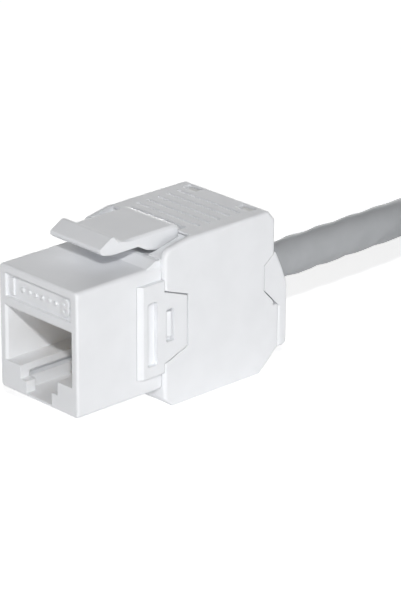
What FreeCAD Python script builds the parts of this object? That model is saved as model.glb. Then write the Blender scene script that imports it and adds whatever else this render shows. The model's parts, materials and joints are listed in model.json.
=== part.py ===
import FreeCAD, Part
import math
import os
from FreeCAD import Vector

# Keystone jack with a press-on rear cap, in millimetres.
# X points right as seen from the front, Y runs from the front face to the rear, Z is up.
# The pieces are modelled with Y counted from the front face, and move forward by half the
# overall length when they are written, so that the origin is the middle of the base.

# --- Front housing ---------------------------------------------------------------------
face_width = 14.7        # the panel opening is cut for this width
face_height = 16.7
housing_rise = 2.4       # the housing's underside above the plane the jack rests on
housing_edge = 0.6       # rounding of the housing's outer edges
front_edge = 0.35        # rounding around the front face

port_width = 12.1
port_height = 7.2
port_sill = 3.9          # port floor above the housing's underside
port_depth = 11.2
front_wall = 1.5         # thickness of the wall that the plug's latch passes
notch_width = 7.0        # upper step of the latch notch
notch_foot_width = 4.8   # lower step, for the latch's thumb lever
notch_foot_height = 2.1
channel_floor = 0.5      # bottom wall under the latch channel
keeper_height = 0.8      # groove that the plug's latch snaps into
keeper_reach = 0.9
rail_height = 1.0        # rail above the keeper groove
port_lead_in = 0.3

label_width = 12.3
label_height = 3.1
label_top_margin = 1.05  # housing top to the label recess
label_depth = 0.4

collar_height = 0.7      # raised collar on the housing's top
collar_length = 2.3
collar_margin = 0.25

# --- Contacts, carrier and board -------------------------------------------------------
contact_count = 8
contact_pitch = 1.02
contact_diameter = 0.45
contact_slope = 27.0     # degrees that the springs hang into the port
contact_tip_inset = 0.3  # springs stop this far short of the board
lintel = 2.2             # front wall above the port
carrier_core = 2.0       # thickness that the springs wrap around
carrier_rib = 0.6        # ribs stand this proud between the springs
carrier_side_wall = 1.6  # housing wall beside the carrier
comb_depth = 1.15        # rear comb, between the port and the board
comb_foot = 0.9          # rear comb below the springs' free ends
tip_room = 0.35          # comb groove below the springs' free ends
board_thickness = 1.5
board_width = 12.6
board_bottom_margin = 1.2
board_top_margin = 1.9
seat_gap = 0.05          # clearance of pieces pressed into seats
spring_gap = 0.06
spring_facets = 6        # flat runs that make up a spring's bend
wire_sides = 8           # thin wires and their holes are drawn with this many sides

# --- Terminal block and blades ---------------------------------------------------------
block_gap = 0.1          # between the shell's side walls and the block
block_margin = 0.1       # block's sides to its rows of blades and their walls
block_depth = 2.5
block_overlap = 0.9      # how far the block laps over the housing's rear rim
block_chamfer = 0.3
blade_columns = 4
blade_wall = 0.6         # plastic between neighbouring blades
row_margin = 2.9         # block's top to its upper row of blades
blade_thickness = 0.4
blade_length = 7.2
blade_slit = 0.5
blade_slit_depth = 4.2
blade_lead_in = 0.5
tail_width = 0.6

# --- Rear shell ------------------------------------------------------------------------
shell_width = 16.0
shell_length = 19.65
shell_rise = 2.8         # roof above the housing's top
back_wall_inset = 0.5    # back wall ahead of the shell's rear edge
shell_wall = 1.1
shell_thick_wall = 1.8   # side wall behind the clip recess
shell_foot_chamfer = 1.2
shell_lip = 1.0          # wall that closes the shell's front below the housing
shell_lip_gap = 0.1
shell_heel_run = 3.2     # sloping lower rear corner
shell_heel_rise = 3.0
shell_crown_run = 1.1    # sloping upper rear corner
shell_crown_drop = 1.3
shell_crown_radius = 0.5
cheek_drop = 0.8         # cheeks are this much lower at the front
cheek_run = 4.5
cheek_radius = 1.5
cheek_rim = 0.8          # wall beside the pocket in each cheek's top
pocket_rise = 0.12       # pocket floor above the collar at its front end
pocket_step = 0.9        # pocket floor below the roof at its rear end
pocket_back = 0.5        # rear end behind the latch's axis
slit_drop = 0.3          # slit in the pocket's rear wall, below the roof
slit_height = 0.18
slit_depth = 0.5
shell_edge = 0.5
grip_grooves = 5
grip_pitch = 1.75
grip_margin = 1.15       # from the latch's slot to the first groove
grip_width = 0.5
grip_depth = 0.25
grip_span = 11.6
window_width = 2.6
window_length = 1.4
window_centre = 5.0
window_rear_margin = 1.6
shell_travel_gap = 0.05

# --- Side clips ------------------------------------------------------------------------
clip_thickness = 0.65
clip_frame_length = 4.2  # ahead of the housing's rear face
clip_ramp = 0.7
clip_bottom = 2.4        # frame's lower edge above the housing's underside
clip_height = 12.5
clip_foot_step = 1.3
tongue_reach = 3.9       # behind the housing's rear face
tongue_bottom = 5.2      # tongue's lower corner above the housing's underside
tongue_height = 6.75
tongue_slope = 1.4
slot_inset = 1.4         # from the frame's front edge
slot_width = 1.6
slot_bottom = 3.95
slot_height = 8.5
clip_window_back = 0.3   # behind the housing's rear face
clip_window_width = 1.25
clip_window_bottom = 6.5
clip_window_height = 4.4
clip_gap = 0.12
catch_height = 0.35
catch_gap = 0.1

# --- Panel latch -----------------------------------------------------------------------
latch_width = 9.3
latch_axis_back = 4.5    # behind the housing's rear face
latch_axis_rise = 1.75   # above the housing's top, as are the heights below
latch_root_radius = 1.7
latch_underside_rise = 2.1
latch_hook_front = 6.2   # from the front face
latch_hook_rise = 4.4
latch_hook_peak = 8.3    # from the front face
latch_step_run = 1.5
latch_step_back = 0.1    # behind the housing's rear face
latch_step_rise = 1.3
latch_edge = 0.3         # chamfer of the lever's upper edges
latch_side_gap = 0.35
latch_seat_gap = 0.05
pedestal_rise = 0.3
pedestal_thickness = 1.2

# --- Wire guide ------------------------------------------------------------------------
guide_front_gap = 0.2    # from the terminal block
guide_gap = 0.1          # from the shell's walls and the housing's shelf
guide_body_length = 7.9
guide_neck_length = 5.0
guide_neck_width = 9.0
guide_neck_height = 9.2
guide_rail_start = 1.6   # behind the side clips' tongues
guide_foot_centre = 3.5
guide_foot_width = 1.8
wire_depth = 1.7         # conductors cross the blades this far into the guide
wire_diameter = 0.9
wire_gap = 0.05
wire_row = 0.8           # the two layers of conductors above and below the axis
wire_bend = 0.45         # where a conductor's bend starts, before and after its corner
passage_wall = 0.9       # guide's sides to the passage that the conductors fan out in
passage_height = 4.0
jacket_inset = 2.0       # jacket's end behind the guide's body
jacket_wall = 0.5
rail_width = 4.0
hook_width = 1.9

# --- Strain relief ---------------------------------------------------------------------
relief_reach = 1.8       # behind the shell's rear edge
relief_bottom = 2.7
relief_shoulder = 10.3   # top of the upright rear face
relief_top = 16.1
relief_seam_rise = 6.15  # relief's underside to its seam with the shell
relief_corner = 0.7
relief_gap = 0.08
relief_notch_run = 2.4   # ahead of the shell's rear edge
relief_cheek_width = 1.9
relief_edge = 0.45

# --- Cable -----------------------------------------------------------------------------
cable_diameter = 5.0
cable_rise = 8.2         # axis above the housing's underside
cable_hole_gap = 0.2
tie_thickness = 0.6
tie_turn = 20.0          # degrees of the coil that the strap covers
tie_gap = 0.1
coil_radius = 25.0       # middle of the turns
coil_turns = 2
coil_chamfer = 1.0
coil_sides = 48
coil_centre = Vector(20.5, 88.0, 0.0)

# --- Values worked out from the above --------------------------------------------------
half_face = face_width / 2
face_top = housing_rise + face_height
port_floor = housing_rise + port_sill
port_ceiling = port_floor + port_height
half_port = port_width / 2
board_front = port_depth + comb_depth
board_rear = board_front + board_thickness
board_bottom = housing_rise + board_bottom_margin
board_height = face_height - board_bottom_margin - board_top_margin
housing_length = board_rear + seat_gap
collar_start = housing_length - collar_length

nose_radius = carrier_core / 2
rib_radius = nose_radius + carrier_rib
nose = Vector(0, lintel + 0.3 + rib_radius, port_ceiling + rib_radius)
spring_radius = nose_radius + spring_gap + contact_diameter / 2
half_carrier = half_face - carrier_side_wall
slope = math.radians(contact_slope)
spring_leave = nose + Vector(0, -math.sin(slope), -math.cos(slope)) * spring_radius
spring_reach = (board_front - contact_tip_inset - spring_leave.y) / math.cos(slope)
spring_tip = spring_leave + Vector(0, math.cos(slope), -math.sin(slope)) * spring_reach
comb_bottom = spring_tip.z - comb_foot

latch_axis = Vector(0, housing_length + latch_axis_back, face_top + latch_axis_rise)
latch_top = face_top + latch_axis_rise + latch_root_radius
pedestal_top = face_top + pedestal_rise
pedestal_end = latch_axis.y + latch_root_radius + 0.2
slot_half_width = latch_width / 2 + latch_side_gap
shell_slot_end = latch_axis.y + latch_root_radius + latch_side_gap

half_shell = shell_width / 2
shell_height = face_top + shell_rise
shell_front = housing_length + shell_travel_gap
shell_rear = shell_front + shell_length
back_wall_rear = shell_rear - back_wall_inset
clip_outer = half_face + clip_thickness
clip_start = housing_length - clip_frame_length
tongue_end = housing_length + tongue_reach
slot_start = clip_start + slot_inset
clip_window_start = housing_length + clip_window_back
relief_rear = shell_rear + relief_reach
relief_notch_front = shell_rear - relief_notch_run
relief_seam = relief_bottom + relief_seam_rise
cable_height = housing_rise + cable_rise
overall_length = relief_rear

block_width = 2 * (half_shell - shell_thick_wall - block_gap)
block_bottom = board_bottom - block_overlap
block_top = board_bottom + board_height + block_overlap
block_rear = housing_length + block_depth
row_offset = block_top - row_margin - cable_height
blade_pitch = (block_width - 2 * block_margin) / blade_columns
blade_width = blade_pitch - blade_wall
passage_width = block_width - 2 * passage_wall
guide_start = block_rear + guide_front_gap
guide_top = pedestal_top - pedestal_thickness - guide_gap
guide_height = 2 * (guide_top - cable_height)
guide_bottom = cable_height - guide_height / 2
guide_body_end = guide_start + guide_body_length
guide_neck_end = guide_body_end + guide_neck_length
wire_plane = guide_start + wire_depth
jacket_end = guide_body_end + jacket_inset


def box(x0, x1, y0, y1, z0, z1):
    """A block between two corners."""
    return Part.makeBox(x1 - x0, y1 - y0, z1 - z0, Vector(x0, y0, z0))


def both_sides(shape):
    """A shape on the right-hand side together with its mirror image on the left."""
    return shape.fuse(mirrored(shape))


def mirrored(shape):
    return shape.mirror(Vector(0, 0, 0), Vector(1, 0, 0))


def side_profile(points, x0, x1):
    """A closed outline of (y, z) points, made into a plate from x0 to x1."""
    corners = [Vector(x0, y, z) for y, z in points]
    face = Part.Face(Part.makePolygon(corners + corners[:1]))
    return face.extrude(Vector(x1 - x0, 0, 0))


def fused(shapes):
    """One solid from shapes that overlap or share faces, with coplanar faces merged."""
    whole = shapes[0].multiFuse(shapes[1:]).removeSplitter()
    return whole.Solids[0] if len(whole.Solids) == 1 else whole


def rounded(shape, radius, wanted):
    """Rounds the edges for which wanted(edge) is true."""
    edges = [edge for edge in shape.Edges if wanted(edge)]
    return shape.makeFillet(radius, edges)


def runs_along(edge, axis):
    """True for a straight edge parallel to a unit vector."""
    if edge.Curve.TypeId != "Part::GeomLine":
        return False
    return abs(abs(edge.tangentAt(edge.FirstParameter).dot(axis)) - 1) < 1e-6


def near(value, target):
    return abs(value - target) < 1e-4


def cylinder_along(axis, centre, radius, length):
    """A cylinder that starts at centre and runs for length along axis."""
    return Part.makeCylinder(radius, length, centre, axis)


def swept(edges, diameter):
    """A round bar along edges that follow each other without a kink."""
    first = edges[0]
    heading = first.tangentAt(first.FirstParameter)
    section = Part.Wire([Part.makeCircle(diameter / 2, first.Vertexes[0].Point, heading)])
    return Part.Wire(edges).makePipeShell([section], True, False)


def sided_outline(centre, heading, diameter):
    """A regular outline with wire_sides corners on a circle, square to heading."""
    across = Vector(1, 0, 0)
    up = heading.cross(across).normalize()
    turns = [2 * math.pi * i / wire_sides for i in range(wire_sides)]
    corners = [centre + (across * math.cos(turn) + up * math.sin(turn)) * diameter / 2
               for turn in turns]
    return Part.makePolygon(corners + corners[:1])


def wire_along(points, diameter):
    """A wire through points, mitred where it turns."""
    outline = sided_outline(points[0], points[1] - points[0], diameter)
    mitred = 1
    return Part.makePolygon(points).makePipeShell([outline], True, False, mitred)


def eased(points, reach):
    """The same path with each of its corners cut off, this far from the corner."""
    path = [points[0]]
    for before, corner, after in zip(points, points[1:], points[2:]):
        path.append(corner + (before - corner).normalize() * reach)
        path.append(corner + (after - corner).normalize() * reach)
    return path + [points[-1]]


def columns(count, pitch):
    """Evenly pitched positions, centred on the middle."""
    return [(i - (count - 1) / 2) * pitch for i in range(count)]


# --- Front housing ---------------------------------------------------------------------
def port_space():
    """The hollow that takes the plug: main port, stepped notch, channel and keeper grooves."""
    port = box(-half_port, half_port, -1, port_depth, port_floor, port_ceiling)
    foot_top = housing_rise + notch_foot_height
    channel_bottom = housing_rise + channel_floor
    step = box(-notch_width / 2, notch_width / 2, -1, front_wall, foot_top, port_floor + 0.1)
    foot = box(-notch_foot_width / 2, notch_foot_width / 2, -1, front_wall + 0.1,
               channel_bottom, foot_top + 0.1)
    channel = box(-notch_width / 2, notch_width / 2, front_wall, port_depth,
                  channel_bottom, port_floor + 0.1)
    keeper_half = notch_width / 2 + keeper_reach
    keeper_top = port_floor - rail_height
    keeper = box(-keeper_half, keeper_half, front_wall, port_depth,
                 keeper_top - keeper_height, keeper_top)
    return port.multiFuse([step, foot, channel, keeper])


def carrier_space():
    """The pocket above the port that the contact carrier slides into from the rear."""
    half = half_carrier + seat_gap
    pocket = box(-half, half, lintel, housing_length, port_ceiling - 0.01,
                 port_ceiling + 2 * rib_radius + seat_gap)
    window = box(-half, half, port_depth - 0.1, housing_length,
                 comb_bottom - seat_gap, port_ceiling)
    return pocket.fuse(window)


def collar():
    """A raised band across the housing's top, ramped up from the front."""
    half = half_face - collar_margin
    rise = face_top + collar_height
    ramp = side_profile([(collar_start, face_top - 0.2), (collar_start, face_top),
                         (collar_start + 1.6, rise), (housing_length, rise),
                         (housing_length, face_top - 0.2)], -half, half)
    concave = cylinder_along(Vector(1, 0, 0), Vector(-half, collar_start - 0.25, rise + 1.3),
                             1.75, 2 * half)
    return ramp.cut(concave)


def latch_pedestal():
    """The shelf behind the collar with the rounded cradle that the latch's root sits in."""
    half = latch_width / 2
    shelf = box(-half, half, housing_length - 0.8, pedestal_end,
                pedestal_top - pedestal_thickness, pedestal_top)
    cradle = cylinder_along(Vector(1, 0, 0), latch_axis - Vector(half + 1, 0, 0),
                            latch_root_radius + latch_seat_gap, 2 * half + 2)
    return shelf.cut(cradle)


def front_housing():
    block = box(-half_face, half_face, 0, housing_length, housing_rise, face_top)
    block = rounded(block, housing_edge, lambda e: runs_along(e, Vector(0, 1, 0)))
    block = rounded(block, front_edge, lambda e: near(e.BoundBox.YMax, 0))
    label_top = face_top - label_top_margin
    label = box(-label_width / 2, label_width / 2, -1, label_depth,
                label_top - label_height, label_top)
    board_space = box(-board_width / 2 - seat_gap, board_width / 2 + seat_gap,
                      board_front - seat_gap, housing_length + 1,
                      board_bottom - seat_gap, board_bottom + board_height + seat_gap)
    lead_in = Part.makeLoft([
        Part.makePolygon([Vector(sx * (half_port + grow), y, z)
                          for sx, z in ((-1, port_floor), (1, port_floor),
                                        (1, port_ceiling + grow), (-1, port_ceiling + grow),
                                        (-1, port_floor))])
        for y, grow in ((-0.01, port_lead_in), (port_lead_in, 0))], True)
    solid = fused([block, collar(), latch_pedestal()])
    for hollow in (port_space(), carrier_space(), label, board_space, lead_in):
        solid = solid.cut(hollow)
    return solid.removeSplitter()


# --- Side clips ------------------------------------------------------------------------
def clip_outline(grow=0.0):
    """The clip seen from the side: frame, then the tongue that reaches over the shell."""
    low = housing_rise + clip_bottom - grow
    top = low + clip_height + 2 * grow
    tongue_low = housing_rise + tongue_bottom - grow
    tongue_top = tongue_low + tongue_height + 2 * grow
    rear, end = housing_length + grow, tongue_end + grow
    return [(clip_start, low), (rear, low), (rear, low + clip_foot_step), (end, tongue_low),
            (end, tongue_top), (rear, tongue_top + tongue_slope), (rear, top),
            (clip_start, top)]


def side_clip():
    """The right-hand clip: a ramped stop frame with a slot, and the snap tongue."""
    plate = side_profile(clip_outline(), half_face, clip_outer)
    low = housing_rise + clip_bottom
    ramp = Part.Face(Part.makePolygon([
        Vector(half_face, clip_start, low - 1), Vector(clip_outer + 0.1, clip_start, low - 1),
        Vector(clip_outer + 0.1, clip_start + clip_ramp * 1.15, low - 1),
        Vector(half_face, clip_start, low - 1)])).extrude(Vector(0, 0, clip_height + 2))
    slot = box(half_face - 1, clip_outer + 1, slot_start, slot_start + slot_width,
               housing_rise + slot_bottom, housing_rise + slot_bottom + slot_height)
    slot = rounded(slot, 0.3, lambda e: runs_along(e, Vector(1, 0, 0)))
    window = box(half_face - 1, clip_outer + 1, clip_window_start,
                 clip_window_start + clip_window_width, housing_rise + clip_window_bottom,
                 housing_rise + clip_window_bottom + clip_window_height)
    window = rounded(window, 0.2, lambda e: runs_along(e, Vector(1, 0, 0)))
    plate = plate.cut(ramp).cut(slot).cut(window)
    return rounded(plate, 0.2, lambda e: near(e.BoundBox.XMin, clip_outer)
                   and (near(e.BoundBox.YMin, tongue_end) or near(e.BoundBox.ZMax, low)))


# --- Panel latch -----------------------------------------------------------------------
def latch_arm():
    """The lever that holds the panel: hook at the front, rounded root at the rear."""
    underside = face_top + latch_underside_rise
    hook_top = face_top + latch_hook_rise
    step_end = housing_length + latch_step_back
    arm = side_profile([
        (latch_hook_front, underside + 1.2), (latch_hook_front, underside + 0.75),
        (latch_hook_front + 0.5, underside + 0.3), (latch_hook_front + 2.0, underside),
        (step_end - latch_step_run, underside), (step_end, face_top + latch_step_rise),
        (latch_axis.y - 1.2, latch_axis.z - latch_root_radius + 0.5),
        (latch_axis.y, latch_axis.z), (latch_axis.y, latch_top),
        (latch_hook_peak + 1.7, latch_top), (latch_hook_peak + 0.9, latch_top + 0.15),
        (latch_hook_peak + 0.25, hook_top), (latch_hook_peak - 0.15, hook_top)],
        -latch_width / 2, latch_width / 2)
    knuckle = cylinder_along(Vector(1, 0, 0), latch_axis - Vector(latch_width / 2, 0, 0),
                             latch_root_radius, latch_width)
    top_edges = [edge for edge in arm.Edges if runs_along(edge, Vector(0, 1, 0))
                 and near(edge.BoundBox.ZMin, latch_top)]
    arm = arm.makeChamfer(latch_edge, top_edges)
    rims = [edge for edge in knuckle.Edges if edge.Curve.TypeId == "Part::GeomCircle"]
    knuckle = knuckle.makeChamfer(latch_edge, rims)
    solid = fused([arm, knuckle])
    return rounded(solid, 0.25, lambda e: runs_along(e, Vector(1, 0, 0))
                   and e.BoundBox.YMax < latch_hook_front + 1)


# --- Contact carrier and contacts ------------------------------------------------------
def carrier_outline(radius):
    """The carrier's beam seen from the side, with a round nose of the given radius."""
    top, bottom = Vector(0, nose.y, nose.z + radius), Vector(0, nose.y, nose.z - radius)
    rear = board_front - 2 * seat_gap
    wire = Part.Wire([
        Part.Arc(bottom, nose - Vector(0, radius, 0), top).toShape(),
        Part.makeLine(top, Vector(0, rear, top.z)),
        Part.makeLine(Vector(0, rear, top.z), Vector(0, rear, bottom.z)),
        Part.makeLine(Vector(0, rear, bottom.z), bottom)])
    return Part.Face(wire)


def contact_carrier():
    """Insulator that spaces the springs: grooves run over, round and under its nose."""
    beam = carrier_outline(rib_radius).extrude(Vector(2 * half_carrier, 0, 0))
    beam.translate(Vector(-half_carrier, 0, 0))
    comb = box(-half_carrier, half_carrier, port_depth, board_front - 2 * seat_gap,
               comb_bottom, port_ceiling + 0.1)
    body = fused([beam, comb])
    core = carrier_outline(nose_radius)
    groove_half = contact_diameter / 2 + spring_gap
    for x in columns(contact_count, contact_pitch):
        core_strip = core.extrude(Vector(2 * groove_half, 0, 0))
        core_strip.translate(Vector(x - groove_half, 0, 0))
        groove = box(x - groove_half, x + groove_half, lintel, board_front,
                     spring_tip.z - tip_room, port_ceiling + 3 * rib_radius)
        body = body.cut(groove.cut(core_strip))
    return body


def contact(x):
    """One spring: from the board over the carrier, round its nose and down into the port."""
    aside = Vector(x, 0, 0)
    last_turn = math.pi - slope
    bend = []
    for i in range(spring_facets + 1):
        turn = last_turn * i / spring_facets
        bend.append(nose + aside + Vector(0, -math.sin(turn), math.cos(turn)) * spring_radius)
    tail = Vector(x, board_rear, nose.z + spring_radius)
    return wire_along([tail] + bend + [spring_tip + aside], contact_diameter)


def blade_rows():
    """Column and height of every blade: four above the cable's axis and four below."""
    return [(x, cable_height + side * row_offset)
            for side in (1, -1) for x in columns(blade_columns, blade_pitch)]


def circuit_board():
    """The board that joins springs to blades, drilled for both."""
    board = box(-board_width / 2, board_width / 2, board_front, board_rear,
                board_bottom, board_bottom + board_height)
    drill = Vector(0, board_thickness + 2, 0)
    holes = []
    for x in columns(contact_count, contact_pitch):
        start = Vector(x, board_front - 1, nose.z + spring_radius)
        outline = sided_outline(start, drill, contact_diameter + 2 * seat_gap)
        holes.append(Part.Face(outline).extrude(drill))
    half_slot, half_height = tail_width / 2 + seat_gap, blade_thickness / 2 + seat_gap
    for x, z in blade_rows():
        holes.append(box(x - half_slot, x + half_slot, board_front - 1, board_rear + 1,
                         z - half_height, z + half_height))
    return board.cut(Part.makeCompound(holes))


# --- Terminal block and blades ---------------------------------------------------------
def terminal_block():
    """Insulator behind the board: a flange, two blocks of sockets and a centring post."""
    half = block_width / 2
    flange = box(-half, half, housing_length, housing_length + 1.0, block_bottom, block_top)
    solids = [flange]
    for side in (1, -1):
        z = cable_height + side * row_offset
        solids.append(box(-half, half, housing_length, block_rear, z - 1.6, z + 1.6))
    block = fused(solids)
    for x, z in blade_rows():
        block = block.cut(box(x - blade_width / 2 - seat_gap, x + blade_width / 2 + seat_gap,
                              housing_length - 1, block_rear + 1,
                              z - blade_thickness / 2 - seat_gap,
                              z + blade_thickness / 2 + seat_gap))
    corners = [edge for edge in block.Edges if runs_along(edge, Vector(0, 1, 0))
               and near(abs(edge.BoundBox.XMin), half) and near(edge.BoundBox.YMax, block_rear)]
    return block.makeChamfer(block_chamfer, corners)


def blade(x, z):
    """A forked blade: the slit's edges cut through a conductor's insulation."""
    start = board_rear + seat_gap
    end = start + blade_length
    slit_start = end - blade_slit_depth
    half, slit, mouth = blade_width / 2, blade_slit / 2, blade_slit / 2 + 0.35
    outline = [(-half, start), (-tail_width / 2, start), (-tail_width / 2, board_front),
               (tail_width / 2, board_front), (tail_width / 2, start), (half, start),
               (half, end - 0.4), (half - 0.3, end), (mouth, end), (slit, end - blade_lead_in),
               (slit, slit_start), (-slit, slit_start), (-slit, end - blade_lead_in),
               (-mouth, end), (-half + 0.3, end), (-half, end - 0.4)]
    low = z - blade_thickness / 2
    corners = [Vector(x + dx, y, low) for dx, y in outline]
    face = Part.Face(Part.makePolygon(corners + corners[:1]))
    return face.extrude(Vector(0, 0, blade_thickness))


# --- Rear shell ------------------------------------------------------------------------
def shell_outline():
    """The shell seen from the side, from the foot of its front edge round to its cheeks."""
    front_top = shell_height - cheek_drop
    return [(shell_front, shell_foot_chamfer), (shell_front + shell_foot_chamfer, 0),
            (shell_rear - shell_heel_run, 0), (shell_rear, shell_heel_rise),
            (shell_rear, relief_seam), (back_wall_rear, relief_seam),
            (back_wall_rear, shell_height - shell_crown_drop),
            (back_wall_rear - shell_crown_run, shell_height),
            (shell_front + cheek_run, shell_height), (shell_front, front_top)]


def shell_blank():
    """The shell's outer form with its soft edges, before it is hollowed."""
    blank = side_profile(shell_outline(), -half_shell, half_shell)
    cheek_top = shell_height - cheek_drop
    blank = rounded(blank, cheek_radius, lambda e: runs_along(e, Vector(1, 0, 0))
                    and near(e.BoundBox.YMax, shell_front) and e.BoundBox.ZMax > cheek_top - 1)
    blank = rounded(blank, shell_crown_radius, lambda e: runs_along(e, Vector(1, 0, 0))
                    and e.BoundBox.YMin > relief_notch_front and e.BoundBox.ZMax > cheek_top - 1)
    return rounded(blank, shell_edge, lambda e: e.BoundBox.XLength < 0.01
                   and e.BoundBox.ZMin > cheek_top - 1.5)


def shell_hollow():
    """The space inside: low between the cheeks, thick-walled behind the clips."""
    back = back_wall_rear - 1.2
    lip_top = block_bottom - shell_lip_gap
    floor, roof = shell_wall, shell_height - shell_wall
    thin = half_shell - shell_wall
    thick = half_shell - shell_thick_wall
    cheek_floor = face_top + 0.15
    step = tongue_end + clip_gap + 1.2
    return box(-thick, thick, shell_front - 1, back, lip_top, cheek_floor).multiFuse([
        box(-thick, thick, shell_front + shell_lip, back, floor, cheek_floor),
        box(-thin, thin, step, back, floor, cheek_floor),
        box(-thin, thin, shell_slot_end + shell_wall, back, floor, roof)])


def cheek_pocket():
    """The pocket in the top of a cheek, open to the front and to the latch's slot."""
    low, high = face_top + collar_height + pocket_rise, shell_height - pocket_step
    end = latch_axis.y + pocket_back
    inner, outer = slot_half_width - 0.1, half_shell - cheek_rim
    pocket = side_profile([(shell_front, low), (end, high), (end, shell_height + 1),
                           (shell_front - 1, shell_height + 1), (shell_front - 1, low)],
                          inner, outer)
    slit_top = shell_height - slit_drop
    slit = box(inner, outer, end - 0.1, end + slit_depth, slit_top - slit_height, slit_top)
    return pocket.fuse(slit)


def clip_catch():
    """The ramped bump on the shell that stands in the clip's window."""
    start = clip_window_start + catch_gap
    end = clip_window_start + clip_window_width - catch_gap
    low = housing_rise + clip_window_bottom + 0.5
    base = half_face
    corners = [Vector(base - 0.3, start, low), Vector(base, start, low),
               Vector(base + catch_height, end - 0.3, low), Vector(base + catch_height, end, low),
               Vector(base - 0.3, end, low)]
    face = Part.Face(Part.makePolygon(corners + corners[:1]))
    return face.extrude(Vector(0, 0, clip_window_height - 1.0))


def relief_outline(grow=0.0):
    """The strain relief's cheek seen from the side, where it lies in the shell's notch."""
    return [(relief_notch_front - grow, relief_seam + 2.4 - grow),
            (shell_rear + 1, relief_seam - 1.3 - grow), (shell_rear + 1, relief_top + grow),
            (back_wall_rear, relief_top + grow),
            (relief_notch_front - grow, relief_top - 1.4 + grow)]


def rear_shell():
    shell = shell_blank().cut(shell_hollow())
    slot = box(-slot_half_width, slot_half_width, shell_front - 1, shell_slot_end,
               face_top + 0.1, shell_height + 1)
    recess = side_profile(clip_outline(clip_gap), half_face - clip_gap / 2, half_shell + 1)
    notch = side_profile(relief_outline(relief_gap / 2),
                         half_shell - relief_cheek_width - relief_gap, half_shell + 1)
    cable_hole = cylinder_along(Vector(0, 1, 0), Vector(0, guide_neck_end, cable_height),
                                cable_diameter / 2 + cable_hole_gap, 10)
    window_rear = back_wall_rear - window_rear_margin
    window = box(window_centre - window_width / 2, window_centre + window_width / 2,
                 window_rear - window_length, window_rear,
                 shell_height - shell_wall - 0.5, shell_height + 1)
    for cutter in (slot, both_sides(cheek_pocket()), both_sides(recess), both_sides(notch),
                   cable_hole, both_sides(window)):
        shell = shell.cut(cutter)
    for i in range(grip_grooves):
        y = shell_slot_end + grip_margin + i * grip_pitch
        groove = box(-grip_span / 2, grip_span / 2, y, y + grip_width,
                     shell_height - grip_depth, shell_height + 1)
        shell = shell.cut(groove)
    return fused([shell, both_sides(clip_catch())])


# --- Wire guide ------------------------------------------------------------------------
def wire_guide():
    """The block in the shell that holds each conductor across its blade."""
    half = block_width / 2
    thin = half_shell - shell_wall - guide_gap
    middle = cable_height
    body = box(-half, half, guide_start, guide_body_end, guide_bottom, guide_top)
    body = rounded(body, 0.4, lambda e: runs_along(e, Vector(0, 1, 0)))
    neck = box(-guide_neck_width / 2, guide_neck_width / 2, guide_body_end - 0.1,
               guide_neck_end, middle - guide_neck_height / 2, middle + guide_neck_height / 2)
    neck = rounded(neck, 1.2, lambda e: runs_along(e, Vector(0, 1, 0)))
    rail_start = tongue_end + guide_rail_start
    rails = both_sides(box(half - 0.5, thin, rail_start, guide_body_end,
                           middle - rail_width / 2, middle + rail_width / 2))
    feet = both_sides(box(guide_foot_centre - guide_foot_width / 2,
                          guide_foot_centre + guide_foot_width / 2, rail_start,
                          guide_body_end, shell_wall + guide_gap, guide_bottom + 0.5))
    roof = shell_height - shell_wall - guide_gap
    arm_start = shell_slot_end + shell_wall + 0.2
    window_rear = back_wall_rear - window_rear_margin
    hook_start = window_rear - window_length + 0.15
    struts = both_sides(box(window_centre - hook_width / 2, window_centre + hook_width / 2,
                            arm_start, guide_body_end, guide_top - 0.5, roof))
    arms = both_sides(box(window_centre - hook_width / 2, window_centre + hook_width / 2,
                          guide_body_end - 0.5, window_rear - 0.15, roof - 1.2, roof))
    hook = side_profile([(hook_start, roof - 0.5), (hook_start, roof + 0.55),
                         (window_rear - 0.15, roof + 0.95), (window_rear - 0.15, roof - 0.5)],
                        window_centre - hook_width / 2, window_centre + hook_width / 2)
    guide = fused([body, neck, rails, feet, struts, arms, both_sides(hook)])

    passage = box(-passage_width / 2, passage_width / 2, guide_start - 1,
                  guide_body_end - 1.5, middle - passage_height / 2,
                  middle + passage_height / 2)
    bore_radius = cable_diameter / 2 + wire_gap
    bore = cylinder_along(Vector(0, 1, 0), Vector(0, guide_body_end - 2, middle),
                          bore_radius, 10)
    funnel_half_height = wire_row + wire_diameter / 2 + 0.2
    funnel = Part.Face(Part.makePolygon([
        Vector(sx, y, middle - funnel_half_height)
        for sx, y in ((-passage_width / 2, guide_body_end - 1.6),
                      (passage_width / 2, guide_body_end - 1.6),
                      (bore_radius, jacket_end - 0.8), (-bore_radius, jacket_end - 0.8),
                      (-passage_width / 2, guide_body_end - 1.6))])).extrude(
                          Vector(0, 0, 2 * funnel_half_height))
    guide = guide.cut(passage.multiFuse([bore, funnel]))
    radius = wire_diameter / 2 + wire_gap
    for x, z in blade_rows():
        side = 1 if z > middle else -1
        near_end, far_end = sorted((middle, middle + side * (guide_height / 2 + 1)))
        groove = box(x - radius, x + radius, guide_start - 1, wire_plane + radius,
                     near_end, far_end)
        blade_space = box(x - blade_width / 2 - 0.1, x + blade_width / 2 + 0.1, guide_start - 1,
                          board_rear + blade_length + 0.3, z - blade_thickness / 2 - 0.1,
                          z + blade_thickness / 2 + 0.1)
        guide = guide.cut(groove.fuse(blade_space))
    return guide


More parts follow.
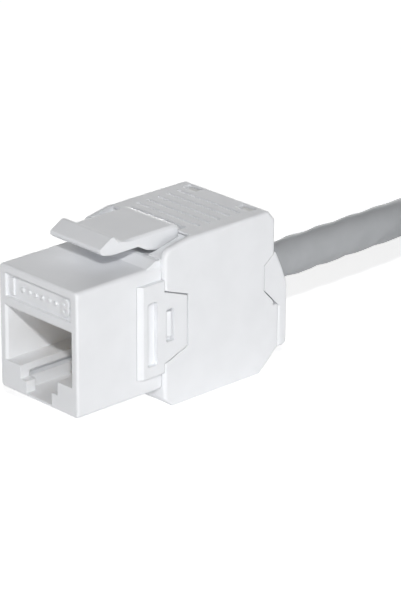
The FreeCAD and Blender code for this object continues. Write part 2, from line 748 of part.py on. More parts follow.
def conductor(index, x, z):
    """One insulated wire: out of the jacket, through the passage and across its blade."""
    side = 1 if z > cable_height else -1
    column = index % blade_columns
    ring = (cable_diameter / 2 - jacket_wall) - wire_diameter / 2 - wire_gap
    angle = math.radians(180 / blade_columns * (blade_columns - 0.5 - column)) * side
    layer = cable_height + side * wire_row
    start = Vector(ring * math.cos(angle), jacket_end, cable_height + ring * math.sin(angle))
    spread = Vector(x, wire_plane + 2.6, layer)
    corner = Vector(x, wire_plane, layer)
    end = Vector(x, wire_plane, cable_height + side * (guide_height / 2 - 0.1))
    path = [start, start - Vector(0, 1.0, 0), spread, corner, end]
    bar = wire_along(eased(path, wire_bend), wire_diameter)
    web = blade_slit / 2 - 0.015
    bite = box(x + web, x + blade_width, wire_plane - 2, wire_plane + 2,
               z - blade_thickness / 2 - 0.02, z + blade_thickness / 2 + 0.02)
    other_bite = box(x - blade_width, x - web, wire_plane - 2, wire_plane + 2,
                     z - blade_thickness / 2 - 0.02, z + blade_thickness / 2 + 0.02)
    return bar.cut(bite).cut(other_bite)


# --- Strain relief ---------------------------------------------------------------------
def strain_relief():
    """The block that closes the shell's rear: cheeks in the shell's notches and a saddle."""
    front = shell_rear + relief_gap
    crest = Vector(0, back_wall_rear, relief_top)
    middle = Vector(0, back_wall_rear + 1.35, relief_top - 2.9)
    shoulder = Vector(0, relief_rear, relief_shoulder)
    corners = [shoulder, Vector(0, relief_rear, relief_bottom), Vector(0, front, relief_bottom),
               Vector(0, front, relief_seam - 0.1)]
    cheek_points = relief_outline(-relief_gap / 2)
    inner = [Vector(0, *cheek_points[0]), Vector(0, *cheek_points[4]), crest]
    outline = corners + inner
    edges = [Part.makeLine(a, b) for a, b in zip(outline, outline[1:])]
    edges.append(Part.Arc(crest, middle, shoulder).toShape())
    block = Part.Face(Part.Wire(edges)).extrude(Vector(shell_width, 0, 0))
    block.translate(Vector(-half_shell, 0, 0))
    inside = half_shell - relief_cheek_width
    hollow = box(-inside, inside, relief_notch_front - 1, front, relief_bottom - 1, relief_top + 1)
    block = block.cut(hollow)
    radius = cable_diameter / 2 + 0.03
    saddle = box(-radius, radius, front - 1, relief_rear + 1, cable_height, relief_top + 1).fuse(
        cylinder_along(Vector(0, 1, 0), Vector(0, front - 1, cable_height), radius, 5))
    block = rounded(block, relief_corner, lambda e: runs_along(e, Vector(1, 0, 0))
                    and near(e.BoundBox.ZMax, relief_bottom) and near(e.BoundBox.YMin, relief_rear))
    block = rounded(block, relief_edge, lambda e: near(abs(e.BoundBox.XMin), half_shell)
                    and e.BoundBox.XLength < 0.01 and e.BoundBox.YMin > front - 0.01
                    and e.BoundBox.ZMax < relief_seam + 0.01)
    return block.cut(saddle)


# --- Cable -----------------------------------------------------------------------------
def cable_route():
    """Control points of the stretch from the jacket's end to the coil, in order."""
    entry = coil_centre - Vector(coil_radius, 0, 0)
    top_turn = tie_thickness + cable_diameter * (coil_turns - 0.5)
    return [Vector(0, jacket_end, cable_height),
            Vector(0, 64.0, cable_height),
            Vector(entry.x + 0.6, 76.0, top_turn + 0.4),
            Vector(entry.x, entry.y, top_turn)]


def cable():
    """The cable's tube: straight runs joined by arcs as large as the runs allow."""
    points = cable_route()
    edges = []
    start = points[0]
    for before, corner, after in zip(points, points[1:], points[2:]):
        into, out = corner - before, after - corner
        reach = 0.45 * min(into.Length, out.Length)
        turn = into.getAngle(out)
        radius = reach / math.tan(turn / 2)
        print("cable arc radius", round(radius, 1), "mm")
        first = corner - into.normalize() * reach
        last = corner + out.normalize() * reach
        middle = corner + (last - corner + first - corner).normalize() * (
            radius / math.cos(turn / 2) - radius)
        edges.append(Part.makeLine(start, first))
        edges.append(Part.Arc(first, middle, last).toShape())
        start = last
    edges.append(Part.makeLine(start, points[-1]))
    tube = swept(edges, cable_diameter)
    length = sum(edge.Length for edge in edges)
    section = math.pi * cable_diameter ** 2 / 4
    print("cable tube", round(length, 1), "mm, volume over section times length",
          round(tube.Volume / (section * length), 4))
    return tube


def coil_outline(radius):
    """A regular outline whose sides touch a circle about the coil's centre."""
    turns = [2 * math.pi * i / coil_sides for i in range(coil_sides)]
    corners = [coil_centre + Vector(math.cos(turn), math.sin(turn), 0)
               * (radius / math.cos(math.pi / coil_sides)) for turn in turns]
    return Part.Face(Part.makePolygon(corners + corners[:1]))


def cable_coil():
    """The outer form of the coiled cable: a ring one cable wide and two cables high."""
    r = cable_diameter / 2
    rise = Vector(0, 0, coil_turns * cable_diameter)
    ring = coil_outline(coil_radius + r).cut(coil_outline(coil_radius - r)).extrude(rise)
    ring.translate(Vector(0, 0, tie_thickness))
    return ring.makeChamfer(coil_chamfer, [edge for edge in ring.Edges
                                           if edge.BoundBox.ZLength < 0.01])


def cable_tie():
    """The strap round the coil's turns, curved with them."""
    half_width = cable_diameter / 2 + tie_gap
    height = coil_turns * cable_diameter + tie_gap
    outer = box(coil_radius - half_width - tie_thickness, coil_radius + half_width + tie_thickness,
                0, 1, 0, height + 2 * tie_thickness)
    hole = box(coil_radius - half_width, coil_radius + half_width, 0, 1,
               tie_thickness, height + tie_thickness)
    section = [f for f in outer.cut(hole).Faces if near(f.CenterOfMass.y, 0)][0]
    strap = section.revolve(Vector(0, 0, 0), Vector(0, 0, 1), tie_turn)
    strap.rotate(Vector(0, 0, 0), Vector(0, 0, 1), 90 - tie_turn / 2)
    strap.translate(coil_centre)
    return strap


# --- The whole jack --------------------------------------------------------------------
def pieces():
    clip = side_clip()
    named = {
        "front_housing": front_housing(),
        "side_clip_right": clip,
        "side_clip_left": mirrored(clip),
        "latch_arm": latch_arm(),
        "contact_carrier": contact_carrier(),
        "circuit_board": circuit_board(),
        "terminal_block": terminal_block(),
        "rear_shell": rear_shell(),
        "wire_guide": wire_guide(),
        "strain_relief": strain_relief(),
        "cable": cable(),
        "cable_coil": cable_coil(),
        "cable_tie": cable_tie(),
    }
    for number, x in enumerate(columns(contact_count, contact_pitch), 1):
        named[f"contact_{number}"] = contact(x)
    for number, (x, z) in enumerate(blade_rows(), 1):
        named[f"blade_{number}"] = blade(x, z)
        named[f"conductor_{number}"] = conductor(number - 1, x, z)
    return named


os.makedirs("parts", exist_ok=True)
for name, shape in pieces().items():
    shape.translate(Vector(0, -overall_length / 2, 0))
    shape.exportStep(f"parts/{name}.step")
    print(name, "solids", len(shape.Solids), "volume", round(shape.Volume, 2))
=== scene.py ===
# %% [markdown]
# # A keystone jack on its cable
#
# The jack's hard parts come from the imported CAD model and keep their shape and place.
# This script adds what CAD leaves plain: the camera and light, the cable's real lay, its cut
# end with the four pairs, the numbers on the label panel, and every surface's material.
# Lengths are in metres, in the model's own frame: +Y runs from the front face to the cable,
# +Z is up, and the jack rests on z = 0.

# %% Load the frame
import bpy
import bmesh
import json
import math
from mathutils import Matrix, Vector
from mathutils.kdtree import KDTree

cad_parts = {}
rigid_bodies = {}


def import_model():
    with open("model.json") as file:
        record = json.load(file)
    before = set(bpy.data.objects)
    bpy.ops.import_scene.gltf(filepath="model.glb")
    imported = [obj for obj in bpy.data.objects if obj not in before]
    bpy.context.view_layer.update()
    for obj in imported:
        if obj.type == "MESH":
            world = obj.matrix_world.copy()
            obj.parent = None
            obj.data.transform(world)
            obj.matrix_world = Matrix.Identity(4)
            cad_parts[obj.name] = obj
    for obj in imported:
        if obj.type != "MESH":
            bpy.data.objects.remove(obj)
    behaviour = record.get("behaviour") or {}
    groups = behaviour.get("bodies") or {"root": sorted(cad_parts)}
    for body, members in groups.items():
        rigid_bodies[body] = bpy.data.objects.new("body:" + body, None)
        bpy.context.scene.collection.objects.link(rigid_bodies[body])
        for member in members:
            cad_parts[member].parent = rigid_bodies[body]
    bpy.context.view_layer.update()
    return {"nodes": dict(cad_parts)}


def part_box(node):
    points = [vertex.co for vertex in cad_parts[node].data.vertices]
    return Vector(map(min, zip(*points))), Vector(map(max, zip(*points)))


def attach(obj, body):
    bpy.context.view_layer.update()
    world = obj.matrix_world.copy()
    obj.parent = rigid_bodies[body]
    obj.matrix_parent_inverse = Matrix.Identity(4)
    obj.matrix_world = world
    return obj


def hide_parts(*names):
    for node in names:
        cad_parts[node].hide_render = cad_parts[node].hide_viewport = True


for startup_object in list(bpy.data.objects):
    bpy.data.objects.remove(startup_object)
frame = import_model()
nodes = frame["nodes"]
MM = 0.001
FRONT_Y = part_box("front_housing")[0].y
print("front face at y", round(FRONT_Y / MM, 2), "mm,", len(nodes), "CAD nodes")


# %% [markdown]
# A few short helpers keep the cells below readable. `at` turns millimetres measured from the
# front face into a point of the frame, because the CAD source counts its sizes from there.
# `meshed` turns a curve or a text into a mesh. `finished` closes a bmesh into an object whose
# place is in its mesh, as a CAD node's is.

# %% Helpers
def at(x, y, z):
    """A point given in millimetres, with y counted from the front face."""
    return Vector((x * MM, FRONT_Y + y * MM, z * MM))


def link(obj):
    bpy.context.scene.collection.objects.link(obj)
    return obj


def meshed(data):
    """The mesh that a curve or a text makes."""
    scratch = link(bpy.data.objects.new("scratch", data))
    mesh = bpy.data.meshes.new_from_object(scratch)
    bpy.data.objects.remove(scratch)
    return mesh


def smooth_sides(mesh):
    """A tube's four-cornered side faces smooth, and its round end caps flat."""
    for face in mesh.polygons:
        face.use_smooth = len(face.vertices) == 4


def finished(name, bm):
    """A flat-shaded object made from a bmesh, which is freed."""
    mesh = bpy.data.meshes.new(name)
    bm.to_mesh(mesh)
    bm.free()
    for face in mesh.polygons:
        face.use_smooth = False
    return link(bpy.data.objects.new(name, mesh))


print("front face centre at", [round(value, 4) for value in at(0, 0, 0)])


# %% [markdown]
# ## Camera
# The camera looks from the front right and from above, at the port, the long side and the
# top together. Its lens is long, so edges that are parallel stay nearly parallel.

# %% Camera
VIEW_AZIMUTH, VIEW_ELEVATION, VIEW_ROLL = 46.77, 21.93, 0.20
VIEW_DISTANCE = 400.0
FOCAL_LENGTH = 192.3
CLIP_RANGE = (0.01, 10.0)    # metres
VIEW_TARGET = at(10.12, 18.0, 14.17)

azimuth, elevation = math.radians(VIEW_AZIMUTH), math.radians(VIEW_ELEVATION)
back = Vector((math.sin(azimuth) * math.cos(elevation),
               -math.cos(azimuth) * math.cos(elevation), math.sin(elevation)))
camera = link(bpy.data.objects.new("camera", bpy.data.cameras.new("camera")))
camera.data.lens = FOCAL_LENGTH
camera.data.clip_start = CLIP_RANGE[0]
camera.data.clip_end = CLIP_RANGE[1]
camera.matrix_world = (Matrix.Translation(VIEW_TARGET + back * VIEW_DISTANCE * MM)
                       @ back.to_track_quat("Z", "Y").to_matrix().to_4x4()
                       @ Matrix.Rotation(math.radians(VIEW_ROLL), 4, "Z"))
bpy.context.scene.camera = camera
print("camera looks from azimuth", VIEW_AZIMUTH, "elevation", VIEW_ELEVATION)


# %% [markdown]
# ## The cable
# One smooth NURBS curve carries the whole cable. Its first points are the route that the CAD
# tube takes: level out of the rear cap, then down and aside to the coil. One point more, at
# 51.2 mm, keeps the run out of the cap straight. The coil's turns are more points of the same
# curve. The upper turn runs level for ten of its sixteen steps, then sinks beside where the
# cable came in, and the lower turn lies under the upper one. A slow wave in the radius keeps
# the coil from looking machined.

# %% Cable
CABLE_DIAMETER = 5.0
TIE_THICKNESS = 0.6
COIL_RADIUS = 25.0
COIL_CENTRE = (20.5, 88.0)
POINTS_PER_TURN = 16
LEVEL_STEPS, SINK_STEPS, LOWER_STEPS = 10, 6, 9
EXIT_HEIGHT = 10.6
EXIT_BACK = 26.5         # where the jacket ends inside the cap
HUMP = 0.4               # height over the coil's upper turn on the way in
UNEVENNESS = 0.004       # share of the radius that the turns wander by
WANDER = 1.7             # radians of that wave in each step

lower_height = TIE_THICKNESS + CABLE_DIAMETER / 2
upper_height = lower_height + CABLE_DIAMETER
route = [(0, EXIT_BACK, EXIT_HEIGHT), (0, 51.2, EXIT_HEIGHT), (0, 64, EXIT_HEIGHT),
         (-3.9, 76, upper_height + HUMP)]
pull_out = 1 / math.cos(math.pi / POINTS_PER_TURN)
for step in range(LEVEL_STEPS + SINK_STEPS + LOWER_STEPS):
    turn = math.pi - 2 * math.pi * step / POINTS_PER_TURN
    sunk = min(max(step - LEVEL_STEPS, 0) / SINK_STEPS, 1)
    height = upper_height - CABLE_DIAMETER * sunk * sunk * (3 - 2 * sunk)
    radius = COIL_RADIUS * pull_out * (1 + UNEVENNESS * math.sin(WANDER * step))
    route.append((COIL_CENTRE[0] + radius * math.cos(turn),
                  COIL_CENTRE[1] + radius * math.sin(turn), height))


def cable_curve():
    """A curve with one open NURBS spline that follows the cable's route."""
    curve = bpy.data.curves.new("centreline", "CURVE")
    curve.dimensions = "3D"
    spline = curve.splines.new("NURBS")
    spline.points.add(len(route) - 1)
    for point, place in zip(spline.points, route):
        point.co = (*at(*place), 1)
    spline.order_u = 3
    spline.use_endpoint_u = True
    spline.resolution_u = 16
    return curve


centreline = cable_curve()
line_points = [vertex.co.copy() for vertex in meshed(centreline).vertices]
distance_along = [0.0]
for one, following in zip(line_points, line_points[1:]):
    distance_along.append(distance_along[-1] + (following - one).length)
print("cable is", round(distance_along[-1] / MM, 1), "mm long on its route")


# %% [markdown]
# A data cable's jacket is drawn tightly over four twisted pairs, so they show through it as
# a faint four-sided twist. The curve's own bevel gives a round tube. Each of its points is
# then moved in or out a little, by how far along the cable it is and how far round.

# %% Cable jacket's shape
JACKET_LAY = 22.0        # length in which the pairs go once round
JACKET_SWELL = 0.13
PAIR_COUNT = 4
EVEN_SHARE = 0.65        # share of the swell that stays the same all along
SLOW_SHARE = 0.35        # share that comes and goes
SLOW_WAVE = 0.4          # turns of that slow wave for each turn of the pairs

centreline.bevel_depth = CABLE_DIAMETER / 2 * MM
centreline.bevel_resolution = 12
centreline.use_fill_caps = True
tube = meshed(centreline)
centres = KDTree(len(line_points))
for index, point in enumerate(line_points):
    centres.insert(point, index)
centres.balance()
for vertex in tube.vertices:
    centre, index, distance = centres.find(vertex.co)
    beyond = line_points[min(index + 1, len(line_points) - 1)]
    ahead = (beyond - line_points[max(index - 1, 0)]).normalized()
    side = ahead.cross(Vector((0, 0, 1))).normalized()
    out = vertex.co - centre
    around = math.atan2(out.dot(side.cross(ahead)), out.dot(side))
    turned = 2 * math.pi * distance_along[index] / (JACKET_LAY * MM)
    swell = JACKET_SWELL * MM * (EVEN_SHARE + SLOW_SHARE * math.sin(SLOW_WAVE * turned))
    vertex.co += out.normalized() * swell * math.cos(PAIR_COUNT * (around - turned))
smooth_sides(tube)
data_cable = link(bpy.data.objects.new("data_cable", tube))
print("jacket has", len(tube.polygons), "faces")


# %% [markdown]
# ## The cable's cut end
# At its far end the cable is cut and its jacket stripped back a little, so the four twisted
# pairs stand out. Each pair is two insulated wires wound round each other. The end's place
# and heading come from the cable's own line, so the pairs follow the cable if its route
# changes. Each wire is a short curve, and so is the bare copper core that stands a little out
# of it. All sixteen become meshes of their own.

# %% Cut end
PAIR_COLOURS = ("blue", "orange", "green", "brown")
WIRE_RADIUS = 0.45
WIRE_GAP = 0.02          # taken off each wire, so that the two of a pair don't touch
CORE_RADIUS = 0.26
PAIR_LENGTH = 9.0
PAIR_STEP = 0.7          # each pair is cut this much shorter than the one before
PAIR_TWIST = 11.0        # length in which the wires of a pair go once round each other
PAIR_PLACE = 1.02        # from the cable's middle to the middle of a pair
PAIR_FLARE = 0.045       # how much further apart the pairs get in each millimetre
WIRE_STEPS = 24
HIDDEN_LENGTH = 0.5      # of a wire inside the jacket, and of a core inside its cover
CORE_SHOWN = 0.25

cable_end = line_points[-1]
heading = (line_points[-1] - line_points[-2]).normalized()
aside = heading.cross(Vector((0, 0, 1))).normalized()
upward = aside.cross(heading)


def end_wire(name, pair, turned, radius, start, stop):
    """One wire of a pair, from start to stop millimetres past the jacket's cut."""
    curve = bpy.data.curves.new(name, "CURVE")
    curve.dimensions = "3D"
    spline = curve.splines.new("POLY")
    spline.points.add(WIRE_STEPS)
    around = math.pi / 4 + pair * math.pi / 2
    for step, point in enumerate(spline.points):
        out = start + (stop - start) * step / WIRE_STEPS
        apart = PAIR_PLACE + PAIR_FLARE * max(out, 0)
        spin = turned + 2 * math.pi * out / PAIR_TWIST + pair
        sideways = apart * math.cos(around) + WIRE_RADIUS * math.cos(spin)
        up = apart * math.sin(around) + WIRE_RADIUS * math.sin(spin)
        place = cable_end + (heading * out + aside * sideways + upward * up) * MM
        point.co = (*place, 1)
    curve.bevel_depth = radius * MM
    curve.bevel_resolution = 3
    curve.use_fill_caps = True
    mesh = meshed(curve)
    mesh.name = name
    smooth_sides(mesh)
    return link(bpy.data.objects.new(name, mesh))


end_wires = []
for pair, colour in enumerate(PAIR_COLOURS):
    for turned, slot in ((0, f"wire_{colour}"), (math.pi, f"wire_white_{colour}")):
        reach = PAIR_LENGTH - PAIR_STEP * pair
        cover = end_wire(f"end_{slot}", pair, turned, WIRE_RADIUS - WIRE_GAP,
                         -HIDDEN_LENGTH, reach)
        core = end_wire(f"end_core_{slot}", pair, turned, CORE_RADIUS,
                        reach - HIDDEN_LENGTH, reach + CORE_SHOWN)
        end_wires.append((cover, slot))
        end_wires.append((core, "copper"))
print("cut end has", len(end_wires), "pieces")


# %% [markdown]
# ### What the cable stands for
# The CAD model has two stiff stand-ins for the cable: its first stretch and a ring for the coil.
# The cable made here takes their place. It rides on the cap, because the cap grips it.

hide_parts("cable", "cable_coil")
for piece in [data_cable] + [wire for wire, slot in end_wires]:
    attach(piece, "cap")


# %% [markdown]
# ## Numbers on the label panel
# The recessed panel over the port carries raised marks for the eight contacts: a 1 for the
# first, an 8 for the last, and a dot for each one between. A number is a text object with a
# little thickness and a soft edge, made into a mesh. Text lies flat when it is made, so a
# quarter turn about X stands it up. A dot is a low cone with its wide end on the panel.

# %% Label numbers
PANEL_FLOOR = 0.4        # behind the front face
PANEL_MIDDLE = 16.5
NUMBER_HEIGHT = 2.1
NUMBER_PLACE = 4.95      # the middle of each number, from the middle of the panel
DOT_PITCH = 1.24
DOT_COUNT = 6
MARK_RELIEF = 0.26
MARK_EDGE = 0.04         # rounding of the numbers' edges
STROKE_EXTRA = 0.06      # added to each side of the font's strokes
DIGIT_SHARE = 0.7        # a digit's height as a share of the font's size
DOT_RADIUS = 0.3
DOT_TAPER = 0.06
DOT_SIDES = 24

upright = Matrix.Rotation(math.pi / 2, 4, "X")
marks = bmesh.new()
for number, x in (("1", -NUMBER_PLACE), ("8", NUMBER_PLACE)):
    text = bpy.data.curves.new("number", "FONT")
    text.body = number
    text.align_x = "CENTER"
    text.size = NUMBER_HEIGHT / DIGIT_SHARE * MM
    text.extrude = (MARK_RELIEF / 2 - MARK_EDGE) * MM
    text.bevel_depth = MARK_EDGE * MM
    text.bevel_resolution = 2
    text.resolution_u = 6
    text.offset = STROKE_EXTRA * MM
    mesh = meshed(text)
    foot = at(x, PANEL_FLOOR - MARK_RELIEF / 2, PANEL_MIDDLE - NUMBER_HEIGHT / 2)
    mesh.transform(Matrix.Translation(foot) @ upright)
    marks.from_mesh(mesh)
for dot in range(DOT_COUNT):
    across = (dot - (DOT_COUNT - 1) / 2) * DOT_PITCH
    middle = at(across, PANEL_FLOOR - MARK_RELIEF / 2, PANEL_MIDDLE)
    bmesh.ops.create_cone(marks, cap_ends=True, segments=DOT_SIDES, depth=MARK_RELIEF * MM,
                          radius1=DOT_RADIUS * MM, radius2=(DOT_RADIUS - DOT_TAPER) * MM,
                          matrix=Matrix.Translation(middle) @ upright)
label_marks = finished("label_marks", marks)
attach(label_marks, "housing")
print("marks stand", MARK_RELIEF, "mm proud of the panel")


# %% [markdown]
# ## Materials
# Every finish is a small node tree on the Principled shader. `finish` starts one, `node` adds
# a node and fills its inputs, and `wire` joins two of them. Patterns read Object coordinates,
# which on this model are the metres of the frame, so a noise scale of 1000 gives
# features about a millimetre across.

# %% Material helpers
def finish(name):
    """A new material with its node tree and its shader."""
    made = bpy.data.materials.new(name)
    made.use_nodes = True
    return made, made.node_tree, made.node_tree.nodes["Principled BSDF"]


def node(tree, kind, inputs=None, **settings):
    made = tree.nodes.new("ShaderNode" + kind)
    for name, value in settings.items():
        setattr(made, name, value)
    for name, value in (inputs or {}).items():
        made.inputs[name].default_value = value
    return made


def wire(tree, source, target):
    tree.links.new(source, target)


def noise(tree, scale, detail):
    """A noise pattern in the frame's metres."""
    coordinates = node(tree, "TexCoord")
    pattern = node(tree, "TexNoise", {"Scale": scale, "Detail": detail})
    wire(tree, coordinates.outputs["Object"], pattern.inputs["Vector"])
    return pattern.outputs["Fac"]


def between(tree, factor, low, high):
    """Two colours mixed by a pattern whose middle values matter most."""
    ramp = node(tree, "ValToRGB")
    ramp.color_ramp.elements[0].position = 0.35
    ramp.color_ramp.elements[0].color = (*low, 1)
    ramp.color_ramp.elements[1].position = 0.65
    ramp.color_ramp.elements[1].color = (*high, 1)
    wire(tree, factor, ramp.inputs["Fac"])
    return ramp.outputs["Color"]


def spread(tree, factor, low, high):
    """A pattern's 0 to 1 turned into low to high."""
    span = node(tree, "MapRange", {"To Min": low, "To Max": high})
    wire(tree, factor, span.inputs["Value"])
    return span.outputs["Result"]


# %% [markdown]
# ### White moulded plastic
# The housing, clips, latch, cap and strain relief are injection moulded. Such plastic is matt
# rather than glossy, with a very fine grain, a slight unevenness in its gloss where the melt
# flowed, and edges that a mould never leaves sharp. The grain is a bump, the uneven gloss is
# noise in the roughness, and a Bevel node rounds every edge a little where light catches it.

# %% White plastic
CLOUD = 0.976            # the darker of the two mixed shades, as a share of the colour
GRAIN = 0.12
GRAIN_DEPTH = 0.02
GLOSS_SPREAD = 0.07      # how far the roughness goes up and down


def moulded(name, colour, roughness, soft_edge=0.12):
    made, tree, shader = finish(name)
    darker = tuple(c * CLOUD for c in colour)
    wire(tree, between(tree, noise(tree, 260, 3), darker, colour), shader.inputs["Base Color"])
    gloss = spread(tree, noise(tree, 700, 3), roughness - GLOSS_SPREAD, roughness + GLOSS_SPREAD)
    wire(tree, gloss, shader.inputs["Roughness"])
    edge = node(tree, "Bevel", {"Radius": soft_edge * MM}, samples=6)
    bump = node(tree, "Bump", {"Strength": GRAIN, "Distance": GRAIN_DEPTH * MM})
    wire(tree, noise(tree, 9000, 2), bump.inputs["Height"])
    wire(tree, edge.outputs["Normal"], bump.inputs["Normal"])
    wire(tree, bump.outputs["Normal"], shader.inputs["Normal"])
    shader.inputs["Specular IOR Level"].default_value = 0.4
    return made


white_plastic = moulded("white_plastic", (0.907, 0.919, 0.940), 0.48, soft_edge=0.2)
inner_plastic = moulded("inner_plastic", (0.86, 0.86, 0.85), 0.5)
carrier_plastic = moulded("carrier_plastic", (0.62, 0.60, 0.57), 0.5, soft_edge=0.05)
tie_plastic = moulded("tie_plastic", (0.72, 0.72, 0.70), 0.35, soft_edge=0.08)
print("moulded finishes:", white_plastic.name, inner_plastic.name, carrier_plastic.name,
      tie_plastic.name)


# %% [markdown]
# ### The cable's jacket
# The jacket is soft grey PVC with a dull sheen: two near greys mixed by noise, a roughness
# that varies a little, and a fine grain from the extruder's die.

# %% Cable jacket
cable_jacket, tree, shader = finish("cable_jacket")
wire(tree, between(tree, noise(tree, 320, 3), (0.44, 0.453, 0.468), (0.466, 0.479, 0.495)),
     shader.inputs["Base Color"])
wire(tree, spread(tree, noise(tree, 900, 2), 0.5, 0.62), shader.inputs["Roughness"])
grain = node(tree, "Bump", {"Strength": 0.15, "Distance": GRAIN_DEPTH * MM})
wire(tree, noise(tree, 7000, 2), grain.inputs["Height"])
wire(tree, grain.outputs["Normal"], shader.inputs["Normal"])
shader.inputs["Specular IOR Level"].default_value = 0.25
print("jacket finish:", cable_jacket.name)


# %% [markdown]
# ### Metals and the board
# The spring contacts are gold plated where the plug touches them, and the blades are tinned
# bronze, which is greyer and duller. Both are metallic with a little noise in the roughness.
# The board is green solder mask over woven glass, whose weave shows faintly.

# %% Metals and board
def plated(name, colour, worn, roughness):
    made, tree, shader = finish(name)
    wire(tree, between(tree, noise(tree, 1800, 3), worn, colour), shader.inputs["Base Color"])
    wire(tree, spread(tree, noise(tree, 2500, 2), roughness - 0.06, roughness + 0.1),
         shader.inputs["Roughness"])
    shader.inputs["Metallic"].default_value = 1.0
    return made


contact_plating = plated("contact_plating", (0.86, 0.64, 0.30), (0.78, 0.56, 0.25), 0.22)
blade_plating = plated("blade_plating", (0.72, 0.71, 0.69), (0.60, 0.59, 0.57), 0.34)
copper = plated("copper", (0.82, 0.44, 0.27), (0.68, 0.34, 0.20), 0.28)

board, tree, shader = finish("board")
weave = node(tree, "TexBrick", {"Scale": 1800, "Mortar Size": 0.03,
                                "Color1": (0.02, 0.16, 0.07, 1),
                                "Color2": (0.025, 0.19, 0.085, 1),
                                "Mortar": (0.015, 0.12, 0.055, 1)})
stood_up = node(tree, "Mapping", {"Rotation": (math.pi / 2, 0, 0)})
coordinates = node(tree, "TexCoord")
wire(tree, coordinates.outputs["Object"], stood_up.inputs["Vector"])
wire(tree, stood_up.outputs["Vector"], weave.inputs["Vector"])
wire(tree, weave.outputs["Color"], shader.inputs["Base Color"])
wire(tree, spread(tree, noise(tree, 1200, 2), 0.2, 0.32), shader.inputs["Roughness"])
print("metal and board finishes:", contact_plating.name, blade_plating.name, board.name)


# %% [markdown]
# ### Wire insulation
# Each pair has a wire of a solid colour and its partner, white with bands of that colour. The
# bands are a wave across the diagonal of all three axes, so they cross a wire whichever of
# the axes it runs along.

# %% Wire insulation
INSULATION = {"blue": (0.03, 0.12, 0.55), "orange": (0.80, 0.22, 0.02),
              "green": (0.02, 0.30, 0.09), "brown": (0.20, 0.08, 0.03)}
BAND_PITCH = 4.8         # from band to band along any one axis
WAVE_LENGTH = 0.628      # of the wave node along one axis, at a scale of 1
BAND_EDGE = 0.72         # the wave's level above which the colour shows
WHITE_COVER = (0.80, 0.80, 0.78)


def insulation(name, colour, banded):
    made, tree, shader = finish(name)
    shade = tuple(c * 0.88 for c in colour)
    tint = between(tree, noise(tree, 900, 2), shade, colour)
    if banded:
        coordinates = node(tree, "TexCoord")
        bands = node(tree, "TexWave", {"Scale": WAVE_LENGTH / (BAND_PITCH * MM)},
                     bands_direction="DIAGONAL")
        edge = node(tree, "Math", {1: BAND_EDGE}, operation="GREATER_THAN")
        mix = node(tree, "Mix", {6: (*WHITE_COVER, 1)}, data_type="RGBA")
        wire(tree, coordinates.outputs["Object"], bands.inputs["Vector"])
        wire(tree, bands.outputs["Fac"], edge.inputs[0])
        wire(tree, edge.outputs["Value"], mix.inputs["Factor"])
        wire(tree, tint, mix.inputs[7])
        tint = mix.outputs[2]
    wire(tree, tint, shader.inputs["Base Color"])
    wire(tree, spread(tree, noise(tree, 1500, 2), 0.3, 0.42), shader.inputs["Roughness"])
    return made


wire_finishes = {}
for colour, tint in INSULATION.items():
    wire_finishes[f"wire_{colour}"] = insulation(f"wire_{colour}", tint, False)
    wire_finishes[f"wire_white_{colour}"] = insulation(f"wire_white_{colour}", tint, True)
print(len(wire_finishes), "wire finishes")


# %% [markdown]
# ### Each piece gets its finish
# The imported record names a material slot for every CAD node. Its finish goes into the
# object's own slot rather than the mesh's, which leaves the CAD mesh untouched.

# %% Put the finishes on
FINISHES = {"white_plastic": white_plastic, "inner_plastic": inner_plastic,
            "carrier_plastic": carrier_plastic, "tie_plastic": tie_plastic,
            "cable_jacket": cable_jacket, "contact_plating": contact_plating,
            "blade_plating": blade_plating, "board": board, "copper": copper,
            **wire_finishes}


def put_on(obj, made):
    """Shows the object in one finish, without touching its mesh's own materials."""
    if not obj.material_slots:
        obj.data.materials.append(None)
    for slot in obj.material_slots:
        slot.link = "OBJECT"
        slot.material = made


for name, obj in nodes.items():
    put_on(obj, FINISHES[obj.material_slots[0].material.name.split(".")[0]])
put_on(data_cable, cable_jacket)
put_on(label_marks, white_plastic)
for piece, slot in end_wires:
    put_on(piece, FINISHES[slot])
print("finishes put on", len(nodes) + len(end_wires) + 2, "pieces")


# %% [markdown]
# ## Light
# The jack stands on a white table in a white studio. A small key lamp above the front right
# throws the crisp shadow under the latch and the slanting one inside the port. Two low
# panels stand on the table at the right: one lights the long side, and one off the front
# corner shines into the port. A wide, low one behind keeps the far sides from going dark,
# and is low so that it hardly reaches the tops. The rest is the studio's own soft light.

# %% Lamps
LAMP_DISTANCE = 0.9      # metres


def panel(name, towards, width, height, power):
    """An area lamp that stands off in one direction from the jack, facing it."""
    lamp = bpy.data.lights.new(name, "AREA")
    lamp.shape = "RECTANGLE"
    lamp.size, lamp.size_y = width, height
    lamp.energy = power
    direction = Vector(towards).normalized()
    obj = link(bpy.data.objects.new(name, lamp))
    obj.matrix_world = (Matrix.Translation(at(0, 17, 10) + direction * LAMP_DISTANCE)
                        @ direction.to_track_quat("Z", "Y").to_matrix().to_4x4())
    return obj


lamps = [panel("key_lamp", (1.15, -1.0, 1.04), 0.04, 0.04, 3.9),
         panel("corner_panel", (1.0, -0.75, 0.1), 0.7, 0.19, 1.2),
         panel("side_panel", (1.0, -0.2, 0.1), 0.7, 0.19, 1.12),
         panel("far_panel", (-1.0, 0.8, 0.08), 0.8, 0.15, 3.6)]
print("lamps:", [lamp.name for lamp in lamps])


# %% [markdown]
# ### The studio's soft light
# The world gives light that comes from everywhere: brightest from low down and weaker towards
# the top, so that upright sides come out lighter than the tops. A Light Path node shows plain
# white instead to the rays that see the background itself, so the background is white while
# its light on the jack stays soft.

# %% World
SKY_LEVELS = ((0.0, 0.4), (0.5, 0.2), (1.0, 0.075))  # place from straight down to straight up
SKY_BLUE = 1.01

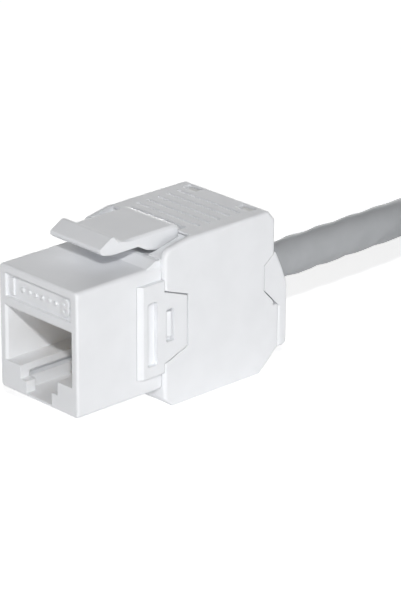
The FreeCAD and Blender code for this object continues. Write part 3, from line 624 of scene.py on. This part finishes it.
world = bpy.data.worlds.new("studio")
bpy.context.scene.world = world
world.use_nodes = True
tree = world.node_tree
tree.nodes.clear()
out = node(tree, "OutputWorld")
direction = node(tree, "TexCoord")
axes = node(tree, "SeparateXYZ")
ramp = node(tree, "ValToRGB")
rise = node(tree, "MapRange", {"From Min": -1.0, "From Max": 1.0})
ramp.color_ramp.elements.new(0.5)
for element, (position, level) in zip(ramp.color_ramp.elements, SKY_LEVELS):
    element.position = position
    element.color = (level, level, level * SKY_BLUE, 1)
light = node(tree, "Background")
white = node(tree, "Background", {"Color": (1, 1, 1, 1), "Strength": 1.0})
choice = node(tree, "MixShader")
wire(tree, direction.outputs["Generated"], axes.inputs["Vector"])
wire(tree, axes.outputs["Z"], rise.inputs["Value"])
wire(tree, rise.outputs["Result"], ramp.inputs["Fac"])
wire(tree, ramp.outputs["Color"], light.inputs["Color"])


def seen_rays(tree):
    """1 for the rays that show the background itself: camera, glossy and glass rays."""
    path = node(tree, "LightPath")
    first = node(tree, "Math", operation="MAXIMUM")
    both = node(tree, "Math", operation="MAXIMUM")
    wire(tree, path.outputs["Is Camera Ray"], first.inputs[0])
    wire(tree, path.outputs["Is Glossy Ray"], first.inputs[1])
    wire(tree, first.outputs["Value"], both.inputs[0])
    wire(tree, path.outputs["Is Transmission Ray"], both.inputs[1])
    return both.outputs["Value"]


wire(tree, seen_rays(tree), choice.inputs["Fac"])
wire(tree, light.outputs["Background"], choice.inputs[1])
wire(tree, white.outputs["Background"], choice.inputs[2])
wire(tree, choice.outputs["Shader"], out.inputs["Surface"])
bpy.context.scene.view_settings.view_transform = "Standard"
print("world:", world.name, "with", len(tree.nodes), "nodes")


# %% [markdown]
# ## The table
# The floor is a plain white table. To the camera most of its white is its own, and the rest
# is lit as any surface is, which keeps the jack's shadow. The lamps reach only the middle of
# the table, so its own white grows with the distance, until it meets the white studio. A
# little of it also lights the jack's underside, as a lit table of frosted glass does.

# %% Floor
TABLE_HALF = 3.0         # metres from its middle to its edge
TABLE_DROP = 0.02        # below the plane that the jack rests on, so the two don't share it
OWN_WHITE = 0.72         # beside the jack
FAR_WHITE = 0.96
WHITE_FROM, WHITE_TO = 0.15, 0.6    # metres from the jack between which it grows
TABLE_GLOW = 0.12        # share of the own white that also lights the jack from below

table = bmesh.new()
bmesh.ops.create_grid(table, x_segments=1, y_segments=1, size=TABLE_HALF,
                      matrix=Matrix.Translation((0, 0, -TABLE_DROP * MM)))
floor = finished("floor", table)
table_top, tree, shader = finish("table_top")
shader.inputs["Base Color"].default_value = (0.86, 0.86, 0.86, 1)
shader.inputs["Roughness"].default_value = 0.9
shader.inputs["Specular IOR Level"].default_value = 0.0
own = node(tree, "Emission")
share = node(tree, "Math", operation="MULTIPLY")
both = node(tree, "AddShader")
coordinates = node(tree, "TexCoord")
distance = node(tree, "VectorMath", operation="LENGTH")
wire(tree, coordinates.outputs["Object"], distance.inputs[0])
growing = node(tree, "MapRange", {"From Min": WHITE_FROM, "From Max": WHITE_TO,
                                  "To Min": OWN_WHITE, "To Max": FAR_WHITE},
               interpolation_type="SMOOTHSTEP")
wire(tree, distance.outputs["Value"], growing.inputs["Value"])
wire(tree, growing.outputs["Result"], share.inputs[1])
wire(tree, spread(tree, seen_rays(tree), TABLE_GLOW, 1.0), share.inputs[0])
wire(tree, share.outputs["Value"], own.inputs["Strength"])
wire(tree, shader.outputs["BSDF"], both.inputs[0])
wire(tree, own.outputs["Emission"], both.inputs[1])
wire(tree, both.outputs["Shader"], tree.nodes["Material Output"].inputs["Surface"])
put_on(floor, table_top)
print("table's own white grows from", OWN_WHITE, "to", FAR_WHITE)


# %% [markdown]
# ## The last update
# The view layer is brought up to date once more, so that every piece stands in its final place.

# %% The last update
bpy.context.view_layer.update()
